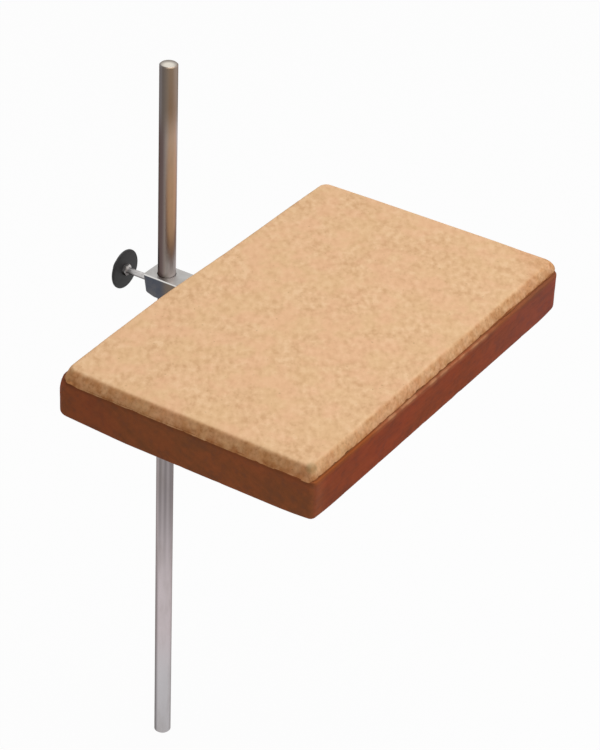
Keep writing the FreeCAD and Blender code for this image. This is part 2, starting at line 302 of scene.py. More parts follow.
class Graph:
    """Builds a shader or geometry node tree from Python expressions."""

    def __init__(self, tree):
        self.tree = tree

    def node(self, kind, settings=None, sockets=None, output=0):
        """Adds a node with its settings, then the values or links of its sockets, and gives its output."""
        made = self.tree.nodes.new(kind)
        for name, value in (settings or {}).items():
            if name == "stops":
                self.set_stops(made.color_ramp.elements, value)
            else:
                setattr(made, name, value)
        for key, value in (sockets or {}).items():
            for single in value if isinstance(value, list) else [value]:
                if isinstance(single, Wire):
                    self.tree.links.new(single.socket, made.inputs[key])
                else:
                    made.inputs[key].default_value = single
        return Wire(self, made.outputs[output]) if made.outputs else None

    @staticmethod
    def set_stops(elements, stops):
        while len(elements) < len(stops):
            elements.new(0.5)
        for element, (place, colour) in zip(elements, stops):
            element.position = place
            element.color = (*colour, 1.0)

    def math(self, operation, first, second=0.0):
        return self.node("ShaderNodeMath", {"operation": operation}, {0: first, 1: second})

    def ramp(self, value, *stops):
        return self.node("ShaderNodeValToRGB", {"stops": stops}, {0: value})

    def mix(self, factor, first, second, blend="MIX"):
        colours = [c if isinstance(c, Wire) else (*c, 1.0) for c in (first, second)]
        settings = {"data_type": "RGBA", "blend_type": blend}
        return self.node("ShaderNodeMix", settings, {0: factor, 6: colours[0], 7: colours[1]}, 2)

    def between(self, value, low, high, to_low=0.0, to_high=1.0):
        """A smooth step from to_low to to_high while the value goes from low to high."""
        sockets = {"Value": value, "From Min": low, "From Max": high, "To Min": to_low, "To Max": to_high}
        return self.node("ShaderNodeMapRange", {"interpolation_type": "SMOOTHSTEP"}, sockets)

    def place(self, stretch=(1, 1, 1)):
        """The piece's own coordinates, stretched along the axes where asked."""
        coords = self.node("ShaderNodeTexCoord", output="Object")
        return self.node("ShaderNodeMapping", None, {"Vector": coords, "Scale": stretch})

    def noise(self, vector, size, detail=3.0, rough=0.5):
        """Cloudy noise with blotches of about the given size, from 0 to 1."""
        sockets = {"Vector": vector, "Scale": 1 / size, "Detail": detail, "Roughness": rough}
        return self.node("ShaderNodeTexNoise", None, sockets)

    def cells(self, vector, size, feature="F1"):
        """Packed cells of about the given size."""
        sockets = {"Vector": vector, "Scale": 1 / size}
        return self.node("ShaderNodeTexVoronoi", {"feature": feature}, sockets)

    def part(self, vector, axis):
        """One part of a vector."""
        return self.node("ShaderNodeSeparateXYZ", None, {0: vector}, axis)

    def painted(self, name):
        """A value that the mesh carries at its points, for a material."""
        return self.node("ShaderNodeAttribute", {"attribute_name": name}, output="Fac")

    def carried(self, name):
        """A value that the mesh carries at its points, for a geometry tree."""
        return self.node("GeometryNodeInputNamedAttribute", {"data_type": "FLOAT"}, {"Name": name})

    def near(self, place, centre, reach):
        """1 at the centre, fading to 0 at the given distance from it."""
        away = self.node("ShaderNodeVectorMath", {"operation": "DISTANCE"}, {0: place, 1: centre}, "Value")
        return self.between(away, SPOT_CORE * reach, reach, 1.0, 0.0)

    def bump(self, height, depth, strength=1.0):
        """A normal that follows a height of the given depth."""
        return self.node("ShaderNodeBump", None, {"Height": height, "Distance": depth, "Strength": strength})


def fresh_graph(owner):
    """The emptied node tree of a material or a world."""
    owner.use_nodes = True
    owner.node_tree.nodes.clear()
    return Graph(owner.node_tree)


def material(paint, preview):
    """A material named after its paint function, which returns what the surface shader's sockets take."""
    made = bpy.data.materials.new(paint.__name__)
    made.diffuse_color = (*preview, 1.0)
    g = fresh_graph(made)
    shader = g.node("ShaderNodeBsdfPrincipled", None, paint(g))
    g.node("ShaderNodeOutputMaterial", None, {"Surface": shader})
    return made


# Finishes


def board_end(g, place):
    """How far a place is beyond the board's ends: 0 on an end face, and less inside."""
    return g.math("ABSOLUTE", g.part(place, "Y")) - wood_high.y


def soiled_cork(g, place, colour, clouds):
    """The cork's colour with grime and painted shade on its cut sides and ends, painted shade at its foot,
    and the smudges on its corners.
    """
    rim = g.painted("rim")
    coarse = g.noise(place, 1.9 * MM, 2.0)
    colour = g.mix(rim * g.between(coarse, 0.5, 0.7) * 0.5, colour, (0.72, 0.60, 0.50), "MULTIPLY")
    colour = g.mix(rim * g.between(coarse, 0.5, 0.32) * 0.6, colour, (1.14, 1.14, 1.12), "MULTIPLY")
    grime_and_shade = g.between(g.noise(place, 5 * MM, 3.0), 0.35, 0.7, 0.45, 1.0)
    # The cut sides are darker: partly grime, partly painted shade
    colour = g.mix(rim * grime_and_shade, colour, (0.80, 0.64, 0.51), "MULTIPLY")
    # The end faces are darker still: grime and painted shade
    end_grime_and_shade = rim * g.between(board_end(g, place), *CORK_END_GRIME_AND_SHADE)
    colour = g.mix(end_grime_and_shade, colour, (0.90, 0.82, 0.74), "MULTIPLY")
    # Painted shade at the cork's foot, where it meets the wood
    colour = g.mix(g.painted("foot") * grime_and_shade, colour, (0.74, 0.64, 0.55), "MULTIPLY")
    for centre, reach, strength in CORK_SMUDGES:
        dirt = g.near(place, centre, reach) * strength * g.between(clouds, 0.75, 1.15, 0.5, 1.0)
        colour = g.mix(dirt, colour, (0.28, 0.21, 0.09))
    return colour


def pressed_cork(g):
    """Light granules of several browns pressed together, darker round the cut sides from grime and painted
    shade.
    """
    place = g.place()
    warped = place + g.noise(place, 2.5 * MM).other("Color") * 0.4 * MM
    tone = g.part(g.cells(warped, GRANULE).other("Color"), "X")
    sockets = {0: place, "Rotation": (0, 0, ROLLED_TURN), "Scale": ROLLED_STRETCH}
    rolled = g.node("ShaderNodeMapping", {"vector_type": "TEXTURE"}, sockets)
    soft = g.noise(rolled, 3.2 * MM, 2.0)
    fine = g.noise(place, 0.6 * MM, 4.0, 0.65)
    cloud = g.noise(place, 22 * MM, 3.0)
    blush = g.noise(place, 15 * MM, 3.0)
    gaps = g.between(g.cells(warped, GRANULE, "DISTANCE_TO_EDGE"), 0.0, 0.08, 1.0, 0.0)
    colour = g.ramp(
        tone * 0.22 + (soft - 0.5) * 2.75 + 0.41,
        (0.0, (0.690, 0.412, 0.220)),
        (0.4, (0.775, 0.490, 0.275)),
        (0.7, (0.815, 0.525, 0.300)),
        (1.0, (0.865, 0.580, 0.345)),
    )
    colour = g.mix(g.between(fine, 0.35, 0.7) * 0.07, colour, (0.70, 0.425, 0.23))
    colour = g.mix(gaps * 0.07, colour, (0.58, 0.34, 0.17))
    colour = g.mix(g.between(cloud, 0.4, 0.65) * 0.4, colour, (0.795, 0.522, 0.278))
    colour = g.mix(g.between(blush, 0.42, 0.66) * 0.45, colour, (0.86, 0.500, 0.305))
    specks = g.between(g.noise(place, 2.0 * MM, 1.0), 0.72, 0.8)
    colour = g.mix(specks * 0.4, colour, (0.36, 0.20, 0.09))
    colour = soiled_cork(g, place, colour, blush + soft)
    height = tone * 0.4 + fine * 0.5 - gaps * 0.5
    return {"Base Color": colour, "Roughness": 0.92 - fine * 0.1, "Specular IOR Level": 0.1,
            "Normal": g.bump(height, 0.06 * MM, 0.15)}


def mahogany_grain(g, place, streaks, pores):
    """The stained wood's own colour: growth rings, streaks, patches of several sizes and pores."""
    wander = g.noise(g.place((1.0, 0.12, 1.0)), 40 * MM, 2.0)
    across = g.part(place, "X") * 0.75 + g.part(place, "Z") * 1.4 + wander * 30 * MM
    rings = g.noise(g.node("ShaderNodeCombineXYZ", None, {"X": across}), 5 * MM, 2.0)
    patches = g.noise(g.place((1.0, 0.5, 1.0)), 45 * MM, 3.0)
    mottle = g.noise(g.place((1.0, 0.4, 1.0)), 11 * MM, 3.0)
    blotches = g.noise(g.place((1.0, 0.6, 1.0)), 3.2 * MM, 3.0)
    colour = g.mix(g.between(rings, 0.3, 0.7), (0.245, 0.068, 0.025), (0.300, 0.078, 0.028))
    tints = [
        (streaks, 0.35, 0.7, 0.3, (0.205, 0.060, 0.024)),
        (patches, 0.45, 0.75, 0.6, (0.335, 0.066, 0.028)),
        (patches, 0.5, 0.25, 0.5, (0.235, 0.078, 0.030)),
        (mottle, 0.45, 0.65, 0.4, (0.355, 0.080, 0.028)),
        (mottle, 0.5, 0.3, 0.35, (0.195, 0.060, 0.028)),
        (blotches, 0.5, 0.7, 0.4, (0.345, 0.085, 0.030)),
        (blotches, 0.5, 0.3, 0.4, (0.180, 0.060, 0.033)),
    ]
    for pattern, start, full, strength, tint in tints:
        colour = g.mix(g.between(pattern, start, full) * strength, colour, tint)
    return g.mix(pores * 0.3, colour, (0.10, 0.030, 0.014))


def stained_wood(g):
    """Mahogany stain under thin varnish: pale on the worn ledge beside the cork, dark along the seam from
    glue stain and painted shade, with a painted highlight on the near corners.
    """
    place = g.place()
    along = g.place((1.0, 0.035, 1.0))
    streaks = g.noise(along, 0.9 * MM, 4.0, 0.6)
    pores = g.between(g.noise(along, 0.45 * MM, 2.0, 0.7), 0.6, 0.72)
    colour = mahogany_grain(g, place, streaks, pores)
    ends = g.between(board_end(g, place), *END_GRAIN)
    sides = 1 - ends
    length_way = g.part(place, "Y")
    width_way = g.between(g.part(place, "X"), wood_low.x, wood_high.x)
    colour = g.mix(ends, colour, g.mix(width_way, (1.01, 1.19, 1.19), (1.17, 1.37, 1.37)), "MULTIPLY")
    colour = g.mix(sides, colour, (0.98, 0.83, 0.88), "MULTIPLY")
    far = g.between(length_way, *WOOD_FAR_TINT) * sides
    colour = g.mix(far * 0.9, colour, (0.98, 1.15, 1.75), "MULTIPLY")
    # Painted highlight on the rounded vertical corners at the near end
    painted_edge_highlight = g.between(length_way - wood_low.y, *WOOD_EDGE_HIGHLIGHT) * 0.8 * sides
    colour = g.mix(painted_edge_highlight, colour, (1.2, 1.5, 1.6), "MULTIPLY")
    worn = g.painted("worn") * g.between(g.noise(place, 7 * MM, 3.0), 0.35, 0.65, 0.3, 1.0)
    colour = g.mix(worn * 0.9, colour, (0.50, 0.235, 0.115))
    amber = g.mix(far, (0.33, 0.100, 0.022), (0.235, 0.092, 0.034))
    # Dark along the seam under the cork: glue stain and painted shade, with amber glue along the side at +X
    stain = g.mix(sides * g.between(width_way, 0.5, 0.9), (0.14, 0.042, 0.012), amber)
    colour = g.mix(g.painted("seam") * 0.6, colour, stain)
    height = streaks * 0.5 - pores
    rough = 0.55 + streaks * 0.2
    return {"Base Color": colour, "Roughness": rough, "Specular IOR Level": 0.05,
            "Normal": g.bump(height, 0.05 * MM, 0.5)}


def dried_glue(g):
    """Amber-brown contact glue that dried in lumps."""
    place = g.place()
    lumps = g.noise(place, 1.6 * MM, 3.0)
    stretch = g.noise(place, 30 * MM, 2.0)
    colour = g.mix(lumps, (0.18, 0.048, 0.009), (0.28, 0.085, 0.018))
    colour = g.mix(g.between(stretch, 0.4, 0.6) * 0.6, colour, (0.32, 0.125, 0.04))
    return {"Base Color": colour, "Roughness": 0.5 + lumps * 0.3, "Specular IOR Level": 0.2,
            "Normal": g.bump(lumps, 0.3 * MM)}


def upper_rod(g, place, side):
    """The rod's colour above the board: painted light on one side and painted shade on the other, a painted
    highlight above the clamp with some rubbing there, a darker, warmer painted reflection towards the top and
    a painted highlight on the end.
    """
    height = g.part(place, "Z")
    bands = g.noise(g.place((1.0, 1.0, 0.003)), 4 * MM, 2.0)
    # Painted light on the lit side, painted shade on the other
    painted_bright = g.between(side + (bands - 0.5) * 0.4, -0.6, 0.35)
    colour = g.mix(painted_bright, (0.125, 0.088, 0.082), (0.46, 0.405, 0.355))
    # Painted highlight along the lit edge
    colour = g.mix(g.between(side, 0.5, 0.95) * 0.7, colour, (0.68, 0.61, 0.62))
    # Painted highlight on the lit side just above the block, with some rubbing by the clamp
    painted_clamp_highlight = g.between(height - block_high.z, *ROD_CLAMP_HIGHLIGHT) * g.between(side, -0.2, 0.4)
    colour = g.mix(painted_clamp_highlight * 0.8, colour, (0.80, 0.74, 0.73))
    # Painted reflection towards the top: darker and warmer, with painted shade on one side and a painted
    # highlight on the lit side
    tarnish_and_dark_reflection = g.mix(painted_bright, (0.132, 0.108, 0.094), (0.235, 0.175, 0.125))
    tarnish_and_dark_reflection = g.mix(g.between(side, -0.55, -0.85), tarnish_and_dark_reflection, (0.19, 0.17, 0.17))
    tarnish_and_dark_reflection = g.mix(g.between(side, 0.4, 0.85), tarnish_and_dark_reflection, (0.33, 0.265, 0.225))
    drop = rod_high.z - height
    colour = g.mix(g.between(drop, *ROD_TOP_DARK_REFLECTION), colour, tarnish_and_dark_reflection)
    # Painted highlight on the end face, darker at its rim
    painted_end_highlight = g.near(place * (1, 1, 0), ROD_END_HIGHLIGHT, rod_radius)
    end = g.mix(painted_end_highlight, (0.34, 0.31, 0.28), (0.82, 0.77, 0.68))
    return g.mix(g.between(drop, *ROD_END_FACE), colour, end)


def lower_rod(g, place, side):
    """The rod's colour below the board: painted shade and painted reflection stripes just under it, paler
    further down, and painted shade at the foot.
    """
    height = g.part(place, "Z")
    # Painted shade and reflection of the board, strongest just under it
    painted_dark = g.between(wood_low.z - height, *ROD_BOARD_SHADE)
    # Painted reflection stripes along the rod
    painted_stripes = g.math("COSINE", (side + 0.2) * (2 * math.pi / REFLECTION_STRIPE_SPACING)) * painted_dark
    colour = g.mix(painted_dark, (0.565, 0.497, 0.510), (0.275, 0.243, 0.246)) * (painted_stripes * 0.17 + 1)
    # The edge turned from the lit side: painted light near the board and painted shade further down; painted
    # shade near the foot
    edge = g.between(side, -0.55, -0.85) * (painted_dark * 0.72 - 0.42) + 1
    colour = colour * edge * g.between(height, *ROD_FOOT_SHADE, 0.9, 1.0)
    return g.mix(g.between(height, *ROD_FOOT_TINT), colour, (0.945, 1.03, 1.03), "MULTIPLY")


def drawn_steel(g):
    """Round bar drawn through a die, with fine die lines along it and stains, and painted light, shade and
    reflections in its colour.
    """
    place = g.place()
    lines = g.noise(g.place((1.0, 1.0, 0.004)), 0.5 * MM, 3.0, 0.6)
    stain = g.noise(g.place((1.0, 1.0, 0.3)), 12 * MM, 4.0, 0.6)
    side = (g.part(place, "X") * ROD_LIT_SIDE.x + g.part(place, "Y") * ROD_LIT_SIDE.y) / rod_radius
    # Where the painted colours above the board give way to those below it
    upper = g.between(wood_low.z - g.part(place, "Z"), *ROD_UPPER_PAINT)
    colour = g.mix(upper, lower_rod(g, place, side), upper_rod(g, place, side))
    colour = g.mix(g.between(stain, 0.45, 0.75) * 0.25, colour, (0.20, 0.165, 0.13))
    rough = 0.2 + lines * 0.14 + stain * 0.12
    return {"Base Color": colour, "Metallic": 1.0, "Roughness": rough,
            "Specular Tint": (0.45, 0.42, 0.4, 1.0), "Normal": g.bump(lines, 0.02 * MM, 0.4)}


def nickel_plate(g):
    """Nickel over ground steel, with painted shade on the sides, a painted reflection of the cork towards the
    board, painted light on top and a painted highlight along the top arris.
    """
    place = g.place()
    lines = g.noise(g.place((0.05, 1.0, 1.0)), 0.4 * MM, 3.0)
    haze = g.noise(place, 6 * MM, 4.0, 0.6)
    reach = g.part(place, "X")
    drop = block_high.z - g.part(place, "Z")
    # Painted light on the top, painted shade on the sides
    painted_bright = g.between(drop, *BLOCK_TOP_LIGHT)
    # Painted highlight along the top arris
    arris = g.between(drop, *BLOCK_ARRIS_HIGHLIGHT)
    painted_dark = g.mix(g.between(haze, 0.35, 0.7), (0.072, 0.078, 0.098), (0.112, 0.110, 0.118))
    # Painted reflection of the cork on the sides towards the board
    painted_dark = g.mix(g.between(reach, *BLOCK_CORK_REFLECTION), painted_dark, (0.170, 0.130, 0.100))
    bright = g.mix(g.between(haze, 0.35, 0.7), (0.47, 0.455, 0.44), (0.40, 0.385, 0.37))
    rough = 0.24 + haze * 0.2 + lines * 0.08
    highlighted = g.mix(arris * 0.7, bright, (0.85, 0.83, 0.80))
    block = g.mix(painted_bright, painted_dark, highlighted)
    fixing = g.between(block_high.x - reach, *FIXING_FINISH)
    return {"Base Color": g.mix(fixing, block, bright), "Metallic": 1.0, "Roughness": rough,
            "Normal": g.bump(lines, 0.015 * MM, 0.4)}


def turned_steel(g):
    """Plated screws and nuts with fine turning marks, and painted shade under the stud's shank outside the
    block.
    """
    place = g.place()
    marks = g.noise(g.place((1.0, 0.1, 0.1)), 0.25 * MM, 2.0)
    haze = g.noise(place, 3 * MM, 3.0)
    colour = g.mix(g.between(haze, 0.35, 0.7), (0.66, 0.64, 0.63), (0.48, 0.46, 0.45))
    shown = g.between(g.part(place, "X") - block_low.x, *SCREW_SHOWN)
    # Painted shade on the underside of the stud's shank outside the block
    under = g.between(g.part(place, "Z") - screw_middle.z, 0.3 * screw_radius, -0.4 * screw_radius)
    colour = g.mix(shown * under * 0.85, colour, (0.13, 0.115, 0.115))
    rough = 0.22 + haze * 0.15 + marks * 0.08
    return {"Base Color": colour, "Metallic": 1.0, "Roughness": rough,
            "Specular Tint": (0.5, 0.48, 0.46, 1.0), "Normal": g.bump(marks, 0.015 * MM, 0.4)}


def natural_nylon(g):
    """Waxy off-white nylon with rub marks."""
    rubs = g.noise(g.place((1.0, 1.0, 0.1)), 0.8 * MM, 3.0)
    colour = g.mix(rubs, (0.74, 0.71, 0.64), (0.62, 0.58, 0.5))
    return {"Base Color": colour, "Roughness": 0.4 + rubs * 0.2, "Normal": g.bump(rubs, 0.02 * MM, 0.4)}


def turned_brass(g):
    """Turned brass, a little tarnished."""
    tarnish_and_dark_reflection = g.noise(g.place(), 1.5 * MM, 4.0, 0.6)
    colour = g.mix(tarnish_and_dark_reflection, (0.68, 0.47, 0.2), (0.38, 0.24, 0.1))
    rough = 0.25 + tarnish_and_dark_reflection * 0.25
    return {"Base Color": colour, "Metallic": 1.0, "Roughness": rough,
            "Normal": g.bump(tarnish_and_dark_reflection, 0.02 * MM, 0.3)}


def black_plastic(g):
    """Moulded black plastic with a fine satin grain and dust in it."""
    place = g.place()
    grain = g.noise(place, 0.35 * MM, 2.0)
    dust = g.noise(place, 3.5 * MM, 4.0, 0.65)
    colour = g.mix(g.between(dust, 0.4, 0.75), (0.012, 0.011, 0.012), (0.030, 0.028, 0.028))
    return {"Base Color": colour, "Roughness": 0.42 + dust * 0.2, "Specular IOR Level": 0.4,
            "Normal": g.bump(grain, 0.04 * MM, 0.5)}


FINISHES = {
    "cork": material(pressed_cork, (0.79, 0.49, 0.27)),
    "stained_wood": material(stained_wood, (0.27, 0.07, 0.03)),
    "glue": material(dried_glue, (0.2, 0.07, 0.02)),
    "bright_steel": material(drawn_steel, (0.4, 0.38, 0.36)),
    "plated_steel": material(nickel_plate, (0.3, 0.29, 0.28)),
    "screw_steel": material(turned_steel, (0.45, 0.43, 0.42)),
    "nylon": material(natural_nylon, (0.7, 0.67, 0.6)),
    "brass": material(turned_brass, (0.6, 0.4, 0.2)),
    "black_plastic": material(black_plastic, (0.03, 0.03, 0.03)),
}


# Mesh tools


def shaded(mesh, smooth_to):
    """Merges doubles, turns faces outwards and shades smooth, apart from flat caps and sharp edges."""
    tidy = bmesh.new()
    tidy.from_mesh(mesh)
    bmesh.ops.remove_doubles(tidy, verts=tidy.verts, dist=MERGE_DISTANCE)
    bmesh.ops.recalc_face_normals(tidy, faces=tidy.faces)
    for face in tidy.faces:
        face.smooth = len(face.verts) <= 4
    for edge in tidy.edges:
        edge.smooth = edge.calc_face_angle(0.0) < math.radians(smooth_to)
    tidy.to_mesh(mesh)
    tidy.free()


def in_scene(name, data):
    """A new object of the scene, with the given mesh, lamp or camera."""
    made = bpy.data.objects.new(name, data)
    bpy.context.scene.collection.objects.link(made)
    return made


def new_piece(name, points, faces, smooth_to=SHARP_EDGE):
    """An object at the origin, made from points and faces."""
    mesh = bpy.data.meshes.new(name)
    mesh.from_pydata(points, [], faces)
    shaded(mesh, smooth_to)
    return in_scene(name, mesh)


def paint_points(piece, name, values):
    """Stores a value at each point of the mesh for its material or its node tree to read."""
    layer = piece.data.attributes.new(name, "FLOAT", "POINT")
    layer.data.foreach_set("value", np.asarray(values, dtype=np.float32))


def finished(piece, slot, body, *nodes):
    """Gives a piece its finish, the body that it rides on and the CAD nodes that it stands for."""
    piece.data.materials.clear()
    piece.data.materials.append(FINISHES[slot])
    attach(piece, body)
    if nodes:
        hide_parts(*nodes)


def grown(piece, slot, build, sizes, smooth_to=SHARP_EDGE):
    """Runs a geometry node tree with named sizes on a piece and keeps the result as its plain mesh."""
    tree = bpy.data.node_groups.new(piece.name + "_growth", "GeometryNodeTree")
    tree.interface.new_socket("Geometry", in_out="INPUT", socket_type="NodeSocketGeometry")
    tree.interface.new_socket("Geometry", in_out="OUTPUT", socket_type="NodeSocketGeometry")
    for label, value in sizes.items():
        kind = {int: "NodeSocketInt", float: "NodeSocketFloat"}.get(type(value), "NodeSocketVector")
        tree.interface.new_socket(label, in_out="INPUT", socket_type=kind)
    g = Graph(tree)
    start = g.node("NodeGroupInput")
    whole = g.node("GeometryNodeRealizeInstances", None, {0: build(g, start)})
    whole = g.node("GeometryNodeSetMaterial", None, {0: whole, "Material": FINISHES[slot]})
    g.node("NodeGroupOutput", None, {0: whole})
    growth = piece.modifiers.new("growth", "NODES")
    growth.node_group = tree
    for item in tree.interface.items_tree:
        if item.in_out == "INPUT" and item.name in sizes:
            growth[item.identifier] = sizes[item.name]
    view = bpy.context.evaluated_depsgraph_get()
    mesh = bpy.data.meshes.new_from_object(piece.evaluated_get(view))
    piece.modifiers.remove(growth)
    piece.data = mesh
    mesh.name = piece.name
    shaded(mesh, smooth_to)


# Board shapes and wear


def rounded_ring(width, length, corners, counts):
    """Points of a rectangle about the origin with four corner radii, anticlockwise from its +X side."""
    turns, across, along = counts
    quarters = []
    for quarter, (x, y) in enumerate(CORNERS):
        radius = corners[quarter]
        centre = Vector((x * (width / 2 - radius), y * (length / 2 - radius), 0))
        angles = [(quarter + turn / turns) * math.pi / 2 for turn in range(turns + 1)]
        quarters.append([centre + radius * Vector((math.cos(a), math.sin(a), 0)) for a in angles])
    ring = []
    for quarter, points in enumerate(quarters):
        steps = along if quarter % 2 else across
        end = quarters[(quarter + 1) % 4][0]
        ring += points + [points[-1].lerp(end, k / steps) for k in range(1, steps)]
    return ring


def ring_counts(width, length, corner, step):
    """Steps round a corner, along the width and along the length."""
    turns = max(FEWEST_CORNER_STEPS, round(corner * math.pi / 2 / step))
    return turns, round((width - 2 * corner) / step), round((length - 2 * corner) / step)


def wall_faces(rows, count):
    """Faces that join rows of points, each a closed ring of the same count."""
    faces = []
    for row in range(rows - 1):
        low, high = row * count, (row + 1) * count
        for k in range(count):
            after = (k + 1) % count
            faces.append((low + k, low + after, high + after, high + k))
    return faces


def joined(first, second):
    """Two shapes, each of points and faces, as one."""
    points, faces = first
    more_points, more_faces = second
    return points + more_points, faces + [tuple(len(points) + k for k in face) for face in more_faces]


def slab(width, length, corners, profile, counts):
    """Points, faces and points to a row of a slab's side.

    The profile goes up the side as (inset, cut of the corner radii, height).
    """
    points = []
    for inset, cut, height in profile:
        radii = [max(0.0, radius - cut) for radius in corners]
        ring = rounded_ring(width - 2 * inset, length - 2 * inset, radii, counts)
        points += [p + Vector((0, 0, height)) for p in ring]
    count = len(points) // len(profile)
    return points, wall_faces(len(profile), count), count


def flat_grid(width, length, height, counts):
    """Points and faces of a flat rectangle in line with the points of a slab's side."""
    across, along = counts[1], counts[2]
    points = [Vector((width * (k / across - 0.5), length * (row / along - 0.5), height))
              for row in range(along + 1) for k in range(across + 1)]
    faces = []
    for row in range(along):
        for k in range(across):
            first = row * (across + 1) + k
            faces.append((first, first + 1, first + across + 2, first + across + 1))
    return points, faces


def arc(centre, radius, start, end, count):
    """Points of an arc in a profile's plane, with angles in degrees."""
    angles = [math.radians(start + (end - start) * k / count) for k in range(count + 1)]
    return [(centre[0] + radius * math.cos(a), centre[1] + radius * math.sin(a)) for a in angles]


def steps_between(low, high, count):
    """The inner ends of equal steps from low to high."""
    return [low + (high - low) * k / count for k in range(1, count)]


def share_of(value, low, high):
    """How far a value is from low to high, kept from 0 to 1."""
    return max(0.0, min(1.0, (value - low) / (high - low)))


def shares_of(values, low, high):
    """The same for each value of an array."""
    return np.clip((values - low) / (high - low), 0, 1)


def corner_worn(p):
    """A point of the board moved to where its corners are rubbed away."""
    moved = p.copy()
    for (x, y), wear in zip(CORNERS, CORNER_WEAR):
        outward = Vector((x, y, 0))
        away = wood_size.x / 2 - x * p.x + wood_size.y / 2 - y * p.y
        near = share_of(away, WEAR_REACH, 0)
        wide = share_of(away, WEAR_WIDE_REACH, 0)
        if p.z <= wood_high.z:
            top = share_of(p.z, wood_high.z - WEAR_HEIGHT, wood_high.z)
            foot = share_of(p.z, wood_low.z + WEAR_HEIGHT, wood_low.z)
            moved -= outward * wear.wood_drawn_in * near * top ** 2
            moved.z += (wear.wood_lifted * wide + wear.wood_blunted * near ** 2) * foot
        else:
            top = share_of(p.z, cork_low.z, cork_high.z)
            moved -= outward * wear.cork_drawn_in * (near + (wide - near) * top ** 2)
            moved += outward * wear.cork_bowed_out * near * 4 * top * (1 - top)
            moved.z -= wear.cork_lowered * wide * top
    return moved


def set_on_board(points, turn=0.0):
    """Points about the board's centre put in their place, turned and worn at the corners."""
    spin = Matrix.Rotation(turn, 4, "Z")
    return [corner_worn(spin @ p) + Vector((board_middle.x, board_middle.y, 0)) for p in points]


# Turned pieces and threads


def lathe(profile, axis, origin, sides):
    """Points and faces of a turned shape. The profile gives (place along the axis, radius)."""
    x, y, z = Matrix.Identity(3)
    forward, across, up = {"X": (x, y, z), "Z": (z, x, y)}[axis]
    points = []
    for place, radius in profile:
        for k in range(sides):
            angle = 2 * math.pi * k / sides
            outward = across * math.cos(angle) + up * math.sin(angle)
            points.append(origin + forward * place + radius * outward)
    return points, wall_faces(len(profile), sides)


def thread_along(axis):
    """A node tree that adds a screw thread, whose rows follow the helix, to the piece."""

    def build(g, start):
        radius, depth, pitch = [start.other(name) for name in ("Radius", "Depth", "Pitch")]
        length, sides, rows = [start.other(name) for name in ("Length", "Sides", "Rows")]
        sockets = {"Size X": 1.0, "Size Y": 1.0, "Vertices X": rows + 1, "Vertices Y": sides + 1}
        sheet = g.node("GeometryNodeMeshGrid", None, sockets)
        position = g.node("GeometryNodeInputPosition")
        turn = g.part(position, "Y") + 0.5
        climb = (g.part(position, "X") + 0.5) * rows / THREAD_ROWS
        along = g.math("MINIMUM", g.math("MAXIMUM", (climb + turn - 1) * pitch, 0.0), length)
        wave = g.math("PINGPONG", (climb + 1 / (2 * THREAD_ROWS)) * 2, 1.0)
        crest = g.node("ShaderNodeClamp", None, {"Value": (wave - THREAD_ROOT) / THREAD_FLANK})
        end = g.math("MINIMUM", along, length - along)
        reach = radius - depth + g.math("MINIMUM", crest * depth, end)
        across = reach * g.math("COSINE", turn * (2 * math.pi))
        up = reach * g.math("SINE", turn * (2 * math.pi))
        order = {"X": (along, across, up), "Z": (across, up, along)}[axis]
        helix = g.node("ShaderNodeCombineXYZ", None, dict(zip("XYZ", order)))
        thread = g.node("GeometryNodeSetPosition", None, {0: sheet, "Position": helix + start.other("Start")})
        whole = g.node("GeometryNodeJoinGeometry", None, {0: [start, thread]})
        return g.node("GeometryNodeMergeByDistance", None, {0: whole, "Distance": THREAD_MERGE})

    return build


def thread_sizes(start, radius, depth, pitch, length, sides):
    """The named sizes of a thread's node tree."""
    rows = THREAD_ROWS * (math.ceil(length / pitch) + 2)
    return {"Radius": radius, "Depth": depth, "Pitch": pitch, "Length": length, "Sides": sides, "Rows": rows,
            "Start": start}


def make_support_rod():
    """The rod, with its chamfered ends and the tapped hole in its foot."""
    top = rod_high.z
    outside = [(0.0, FOOT_HOLE_RADIUS), (0.0, rod_radius - ROD_FOOT_CHAMFER), (ROD_FOOT_CHAMFER, rod_radius),
               (top - ROD_TOP_CHAMFER, rod_radius), (top, rod_radius - ROD_TOP_CHAMFER), (top, 0.0)]
    hole_end = [(FOOT_THREAD_LENGTH, FOOT_HOLE_RADIUS), (FOOT_THREAD_LENGTH + DRILL_POINT, 0.0)]
    bar, point = [lathe(profile, "Z", Vector(), ROD_SIDES) for profile in (outside, hole_end)]
    piece = new_piece("steel_rod", *joined(bar, point))
    sizes = thread_sizes(Vector(), FOOT_HOLE_RADIUS + FOOT_THREAD_DEPTH, FOOT_THREAD_DEPTH, FOOT_PITCH,
                         FOOT_THREAD_LENGTH, ROD_SIDES)
    grown(piece, "bright_steel", thread_along("Z"), sizes)
    finished(piece, "bright_steel", "rod", "support_rod")


